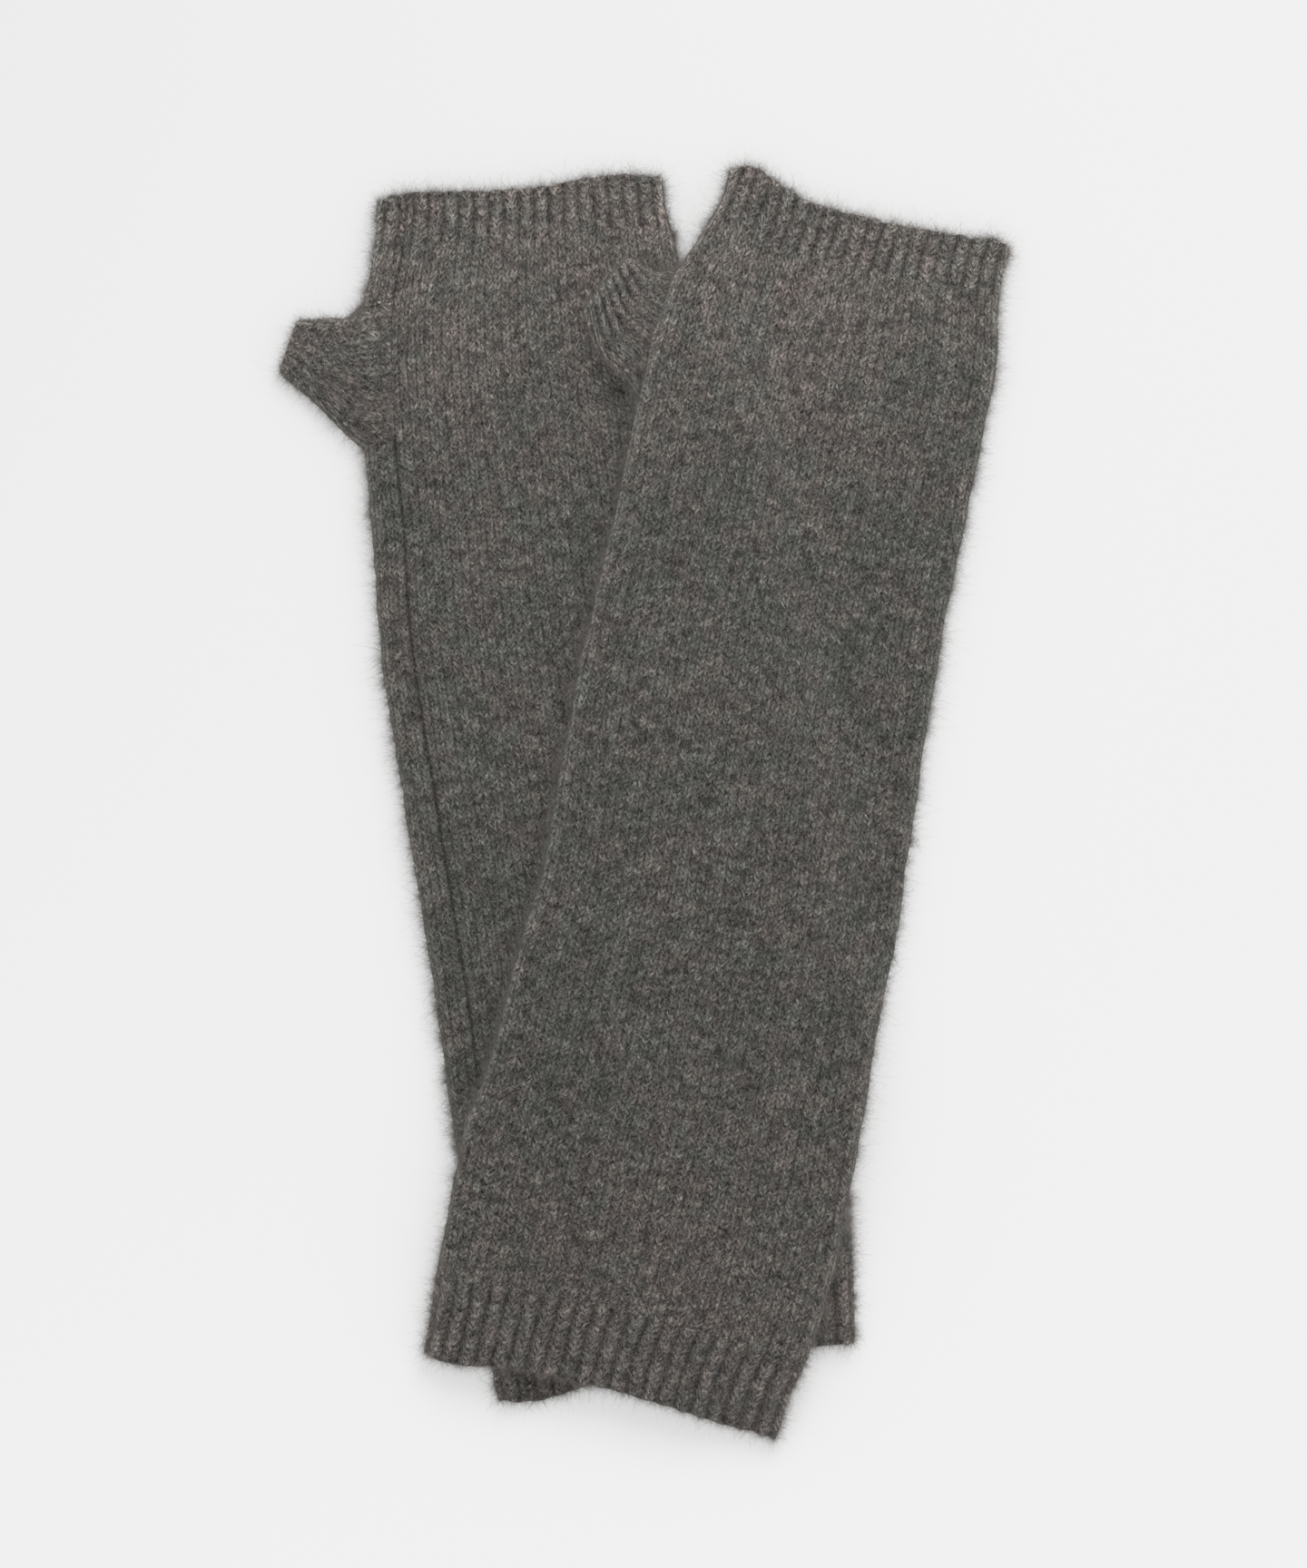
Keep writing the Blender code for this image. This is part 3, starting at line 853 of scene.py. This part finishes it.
def build_rib(warmer, part, material):
    """The 1x1 rib at one end of the panel."""
    at_hand = part == "hand_rib"
    ribs = HAND_RIBS if at_hand else ARM_RIBS
    hem = warmer.length if at_hand else 0.0
    line = warmer.length - HAND_RIB if at_hand else ARM_RIB
    outward = 1.0 if at_hand else -1.0
    rows, depths = hem_rows(line, hem, outward)
    shares = even_shares(ribs * 8)

    def relief(wales, courses, rows, shares, girth):
        inboard = ease(np.abs(rows - line) / JOIN_FADE)[:, None]
        at_edge = ease(np.abs(rows - hem) / 2.5)[:, None]
        depth = RIB_DEPTH * (JOINED_DEPTH + (1 - JOINED_DEPTH) * inboard) * (0.45 + 0.55 * at_edge)
        lumps = rumple(rows, shares[None, :], ARM_RIB, HEM_GIRTH, RIB_LUMP.size)
        height = rib_relief(wales / 2, courses, depth) + 0.6 * seam_relief(from_seam(shares, girth))
        return height + RIB_LUMP.height * lumps * inboard

    crest = 0.5 + 0.5 * np.cos(2 * math.pi * ribs * shares)
    lumps = rumple(rows, shares[None, :], ARM_RIB, HEM_GIRTH, HEM_LUMP.size)
    near_hem = ease(1 - np.abs(rows - hem) / HEM_REACH)[:, None]
    push = outward * near_hem * (HEM_SCALLOP * (crest[None, :] - 0.6) + HEM_LUMP.height * lumps)

    name, surface = f"{warmer.name}_{part}_knit", partial(panel_surface, warmer)
    return skin_piece(name, surface, rows, depths, shares, 2 * ribs, relief, material, push=push)


def build_thumb(warmer, tube_material, rib_material):
    """The thumb tube and its ribbed tip."""
    line, tip = warmer.thumb[-2].reach, warmer.thumb[-1].reach
    root = -warmer.tongue
    surface = partial(thumb_surface, warmer)

    def tube_relief(wales, courses, rows, shares, girth):
        groove = THUMB_SEAM_DEPTH * np.exp(-((rows - root) ** 2))[:, None]
        return stocking_relief(wales, courses) - groove

    def rib_tip_relief(wales, courses, rows, shares, girth):
        inboard = ease((rows - line) / 3.0)[:, None]
        return rib_relief(wales / 2, courses, warmer.thumb_rib_depth * (0.5 + 0.5 * inboard))

    rows = np.linspace(root, line, 2 * round((line - root) / COURSE) + 1)
    shares = even_shares(THUMB_WALES * 4)
    tube = skin_piece(
        f"{warmer.name}_thumb_knit", surface, rows, 0 * rows, shares, THUMB_WALES, tube_relief, tube_material
    )
    rows, depths = hem_rows(line, tip, 1.0)
    ribs = warmer.thumb_ribs
    name, shares = f"{warmer.name}_thumb_rib_knit", even_shares(ribs * 8)
    rib = skin_piece(name, surface, rows, depths, shares, 2 * ribs, rib_tip_relief, rib_material)
    return tube, rib


# ---------------------------------------------------------------- nap


def scatter(skin, count, weight):
    """Random places on a skin, more of them where weight is high: point, normal, direction of the wales."""
    p = skin.points
    rows, columns = p.shape[:2]
    r = random.random(count * 3) * (rows - 1.001)
    c = random.random(count * 3) * (columns - 1.001)
    ri, ci = r.astype(int), c.astype(int)
    size = np.linalg.norm(p[ri, ci + 1] - p[ri, ci], axis=1)
    size *= np.linalg.norm(p[ri + 1, ci] - p[ri, ci], axis=1)
    chance = size / size.max() * weight(skin.normals[ri, ci], p[ri, ci])
    chosen = random.choice(len(ri), count, p=chance / chance.sum())
    ri, ci, fr, fc = ri[chosen], ci[chosen], (r % 1)[chosen, None], (c % 1)[chosen, None]
    near = p[ri, ci] * (1 - fc) + p[ri, ci + 1] * fc
    far = p[ri + 1, ci] * (1 - fc) + p[ri + 1, ci + 1] * fc
    return near * (1 - fr) + far * fr, skin.normals[ri, ci], unit(p[ri + 1, ci] - p[ri, ci])


ROOT_DEPTH = 0.15  # how far under the skin a hair starts
LOWEST_HAIR = 0.08  # above the table
HIGHEST_HAIR = 6.0  # above its own root


def hairs(name, point, normal, up, length, lift, width, turn, curl, segments, material):
    """Hairs as thin ribbons. lift is the angle at which each starts, turn the angle from the wales."""
    count = len(point)
    side = np.cross(normal, up)
    heading = up * np.cos(turn)[:, None] + side * np.sin(turn)[:, None]
    start = heading * np.cos(lift)[:, None] + normal * np.sin(lift)[:, None]
    bend = random.normal(0, 1, (count, 3)) * curl
    bend -= (bend * start).sum(1, keepdims=True) * start
    t = np.linspace(0, 1, segments + 1)[None, :, None]
    sway = random.normal(0, 1, (count, 3)) * curl * 0.5
    course = start[:, None] * t + bend[:, None] * t**2 + sway[:, None] * t**3
    path = (point - normal * ROOT_DEPTH)[:, None] + length[:, None, None] * course
    path[..., 2] = np.clip(path[..., 2], LOWEST_HAIR, point[:, None, 2] + HIGHEST_HAIR)
    roll = random.normal(0, 1, (count, 1, 3)) + np.array([0, 0, 1.2])
    flat = unit(np.cross(np.gradient(path, axis=1), roll))
    half = 0.5 * width[:, None, None] * (1 - 0.65 * t**2)
    points = np.stack([path - flat * half, path + flat * half], axis=2).reshape(-1, 3)
    first = (np.arange(count)[:, None] * (segments + 1) + np.arange(segments)[None, :]).ravel() * 2
    quads = np.stack([first, first + 1, first + 3, first + 2], axis=1)
    tone = np.repeat(random.beta(2.0, 2.2, count), segments * 4)
    t = t.ravel()
    along = np.tile(np.stack([t[:-1], t[:-1], t[1:], t[1:]], axis=1).ravel(), count)
    maps = {"OFBake": np.stack([0.01 + 0.98 * tone, 0.01 + 0.98 * along], axis=1)}
    return make_mesh(name, points, quads, maps, material)


def not_covered(points):
    """1 where a point of the lower warmer is seen, down to 0 from 6 mm inside the upper one's outline."""
    return np.clip(1 - (inside_of(OVER, points[:, 0], points[:, 1]) - 2.0) / 4.0, 0.0, 1.0)


def nap(warmer, part, skin, amounts, material):
    """The brushed nap of one piece: curls that lie on it, then short down and long fuzz on folds and hems."""

    def seen(normals, points):
        weight = np.where(normals[:, 2] > -0.35, 1.0, 0.04)
        return weight * (1.0 if warmer.rests_on_other else not_covered(points) + 1e-4)

    def rims(normals, points):
        return seen(normals, points) * (1 - np.abs(normals[:, 2])) ** 1.5

    def any_way(count):
        return random.uniform(-math.pi, math.pi, count)

    count = amounts.curls
    curled = hairs(
        f"{warmer.name}_{part}_nap",
        *scatter(skin, count, seen),
        length=random.uniform(0.7, 2.1, count),
        lift=random.uniform(0.1, 0.5, count),
        width=random.uniform(0.07, 0.17, count),
        turn=random.normal(0, 0.9, count) + np.where(random.random(count) < 0.4, math.pi, 0),
        curl=0.5,
        segments=2,
        material=material,
    )
    count = amounts.down
    down = hairs(
        f"{warmer.name}_{part}_down",
        *scatter(skin, count, rims),
        length=random.uniform(0.5, 2.8, count),
        lift=random.uniform(0.3, 1.5, count),
        width=random.uniform(0.018, 0.036, count),
        turn=any_way(count),
        curl=0.4,
        segments=2,
        material=material,
    )
    count = amounts.fuzz
    fuzz = hairs(
        f"{warmer.name}_{part}_fuzz",
        *scatter(skin, count, rims),
        length=np.clip(0.8 + random.gamma(2.4, 1.0, count), 0.5, 6.5),
        lift=random.uniform(0.2, 1.15, count),
        width=random.uniform(0.016, 0.034, count),
        turn=any_way(count),
        curl=0.35,
        segments=3,
        material=material,
    )
    return curled, down, fuzz


# ---------------------------------------------------------------- scene


FLOOR_SIZE = 4.0
FLOOR_DROP = 0.0002
FLOOR_TONES = (0.56, 0.44)  # near the arm hems and near the hand hems, to even out the lamp's fall
FLOOR_GLOW = 0.42
WORLD_STRENGTH = 0.68
LAMP_AT = (0.22, 0.78, 0.72)
LAMP_SIZE = 0.6
LAMP_POWER = 4.2
LENS, SENSOR = 150.0, 36.0
SHOWN_HEIGHT = 0.4666
CAMERA_AT = (0.0026, 0.0056)


def build_floor():
    """A pale table that gives off a little light of its own."""
    s = FLOOR_SIZE
    mesh = bpy.data.meshes.new("floor")
    mesh.from_pydata([(-s, -s, 0), (s, -s, 0), (s, s, 0), (-s, s, 0)], [], [(0, 1, 2, 3)])
    floor = bpy.data.objects.new("floor", mesh)
    floor.location.z = -FLOOR_DROP
    bpy.context.scene.collection.objects.link(floor)
    material, g, shader = new_material("lit_pale_table")
    table_y = g.split(g.node("ShaderNodeTexCoord").outputs["Object"])[1]
    tone = g.remap(table_y, -0.24, 0.24, *FLOOR_TONES)
    g.link(g.join(tone, tone, tone), shader.inputs["Base Color"])
    shader.inputs["Roughness"].default_value = 0.9
    shader.inputs["Specular IOR Level"].default_value = 0.1
    shader.inputs["Emission Color"].default_value = (1.0, 1.0, 1.0, 1.0)
    shader.inputs["Emission Strength"].default_value = FLOOR_GLOW
    mesh.materials.append(material)


def build_lights():
    """An even white surround, and one large soft lamp beyond the hand hems."""
    world = bpy.data.worlds.new("studio")
    world.use_nodes = True
    background = world.node_tree.nodes["Background"]
    background.inputs["Color"].default_value = (1.0, 1.0, 1.0, 1.0)
    background.inputs["Strength"].default_value = WORLD_STRENGTH
    bpy.context.scene.world = world
    data = bpy.data.lights.new("softbox_top", "AREA")
    data.shape = "SQUARE"
    data.size = LAMP_SIZE
    data.energy = LAMP_POWER
    lamp = bpy.data.objects.new("softbox_top", data)
    lamp.location = LAMP_AT
    lamp.rotation_euler = (-Vector(LAMP_AT)).to_track_quat("-Z", "Y").to_euler()
    bpy.context.scene.collection.objects.link(lamp)
    bpy.context.scene.view_settings.view_transform = "Standard"


def build_camera():
    """Straight above the pair, at the height where the frame takes in its margins."""
    data = bpy.data.cameras.new("camera")
    data.lens = LENS
    data.sensor_width = SENSOR
    camera = bpy.data.objects.new("camera", data)
    camera.location = (*CAMERA_AT, LENS / SENSOR * SHOWN_HEIGHT)
    bpy.context.scene.collection.objects.link(camera)
    bpy.context.scene.camera = camera


def knit_materials():
    """The knit of each part, by its name. The two thumbs' ribs differ, so those are by warmer."""
    # The upper thumb's rib: deeper painted shade in its troughs, and a painted highlight on its tip's rim
    over_rib = {"wale_mm": 1.7, "trough_shade": 0.24, "hem_mm": OVER.thumb[-1].reach, "hem_highlight": 1.5}
    return {
        "body": knit_material("brushed_stockinette", wale_mm=2.6, round_wales=BODY_WALES),
        "arm_rib": knit_material("brushed_arm_rib", wale_mm=2.5, ribbed=True, round_wales=2 * ARM_RIBS),
        "hand_rib": knit_material("brushed_hand_rib", wale_mm=2.2, ribbed=True, round_wales=2 * HAND_RIBS),
        "thumb": knit_material("brushed_thumb", wale_mm=2.6),
        "under_thumb_rib": knit_material("brushed_under_thumb_rib", wale_mm=1.8, ribbed=True, trough_shade=0.6),
        "over_thumb_rib": knit_material("brushed_over_thumb_rib", ribbed=True, **over_rib),
    }


Amounts = namedtuple("Amounts", "curls down fuzz")
NAP = {
    "under": {
        "body": Amounts(12000, 16000, 11000),
        "hand_rib": Amounts(1600, 5000, 2400),
        "arm_rib": Amounts(1000, 3400, 1500),
        "thumb": Amounts(1100, 900, 500),
        "thumb_rib": Amounts(700, 1100, 500),
    },
    "over": {
        "body": Amounts(18000, 21000, 13000),
        "hand_rib": Amounts(1800, 5000, 2400),
        "arm_rib": Amounts(2600, 6800, 3200),
        "thumb": Amounts(1000, 700, 300),
        "thumb_rib": Amounts(900, 1100, 500),
    },
}


def build_warmer(warmer, knits, hair):
    """One warmer: its five pieces of knit, each with its nap."""
    skins = {
        "body": build_body(warmer, knits["body"]),
        "hand_rib": build_rib(warmer, "hand_rib", knits["hand_rib"]),
        "arm_rib": build_rib(warmer, "arm_rib", knits["arm_rib"]),
    }
    tip_knit = knits[f"{warmer.name}_thumb_rib"]
    skins["thumb"], skins["thumb_rib"] = build_thumb(warmer, knits["thumb"], tip_knit)
    for part, skin in skins.items():
        hairs_on_it = nap(warmer, part, skin, NAP[warmer.name][part], hair)
        for piece in (skin.obj, *hairs_on_it):
            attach(piece, "root")
        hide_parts(f"{warmer.name}_{part}")


build_camera()
build_floor()
build_lights()
knits = knit_materials()
hair = hair_material("wool_hair")
for warmer in (UNDER, OVER):
    build_warmer(warmer, knits, hair)
